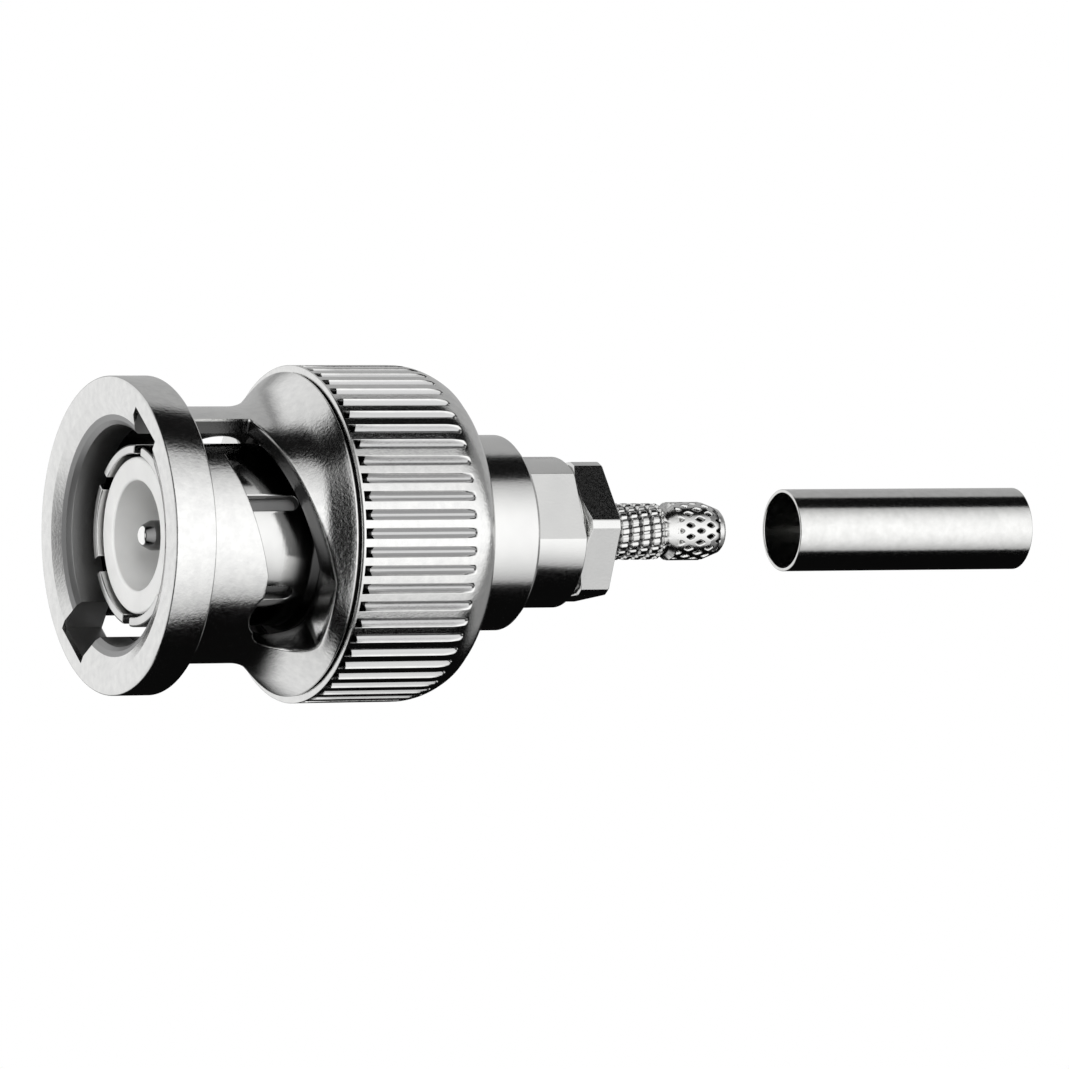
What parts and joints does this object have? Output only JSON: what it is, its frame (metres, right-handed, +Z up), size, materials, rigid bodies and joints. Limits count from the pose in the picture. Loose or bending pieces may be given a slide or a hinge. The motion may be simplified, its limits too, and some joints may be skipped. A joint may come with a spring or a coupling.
{
  "type": "bnc connector",
  "caption": "Bayonet-locked coaxial cable plug with a knurled coupling nut, spring-finger outer contact, centre pin, hexagonal crimp stem and a loose crimp ferrule.",
  "frame": {"origin": "On the plug's axis, in the plane of the outer contact's front tip", "axes": "+X along the axis towards the cable end, -Y towards the viewer of the reference view, +Z up with the axis level"},
  "size_m": [0.0463, 0.0152, 0.0152],
  "materials": {
    "nickel": "satin bright nickel plate on brass",
    "contact": "bright plated bronze",
    "ferrule_metal": "bright nickel plate on copper",
    "spring_steel": "spring steel strip",
    "ptfe": "white waxy PTFE",
    "silicone": "matt silicone rubber"
  },
  "bodies": {
    "plug": {"plug_body": "nickel", "outer_contact": "contact", "gasket": "silicone", "front_insulator": "ptfe", "rear_insulator": "ptfe", "center_pin": "contact", "crimp_stem": "nickel", "front_wave_spring": "spring_steel", "rear_wave_spring": "spring_steel"},
    "nut_carrier": {"thrust_washer": "nickel"},
    "nut": {"coupling_nut": "nickel", "nut_rear_ring": "nickel"},
    "ferrule": {"crimp_ferrule": "ferrule_metal"}
  },
  "joints": [
    {"name": "nut_push", "type": "slide", "parent": "plug", "child": "nut_carrier", "axis": [-1, 0, 0], "range_m": [0, 0.0012], "stiffness_N_per_m": 9000, "springref_m": -0.0005, "deforming": ["front_wave_spring", "rear_wave_spring"]},
    {"name": "nut_spin", "type": "hinge", "parent": "nut_carrier", "child": "nut", "pos_m": [0.01, 0, 0], "axis": [1, 0, 0], "continuous": true},
    {"name": "ferrule_slide", "type": "slide", "parent": "plug", "child": "ferrule", "axis": [1, 0, 0], "range_m": [-0.01005, 0]}
  ]
}
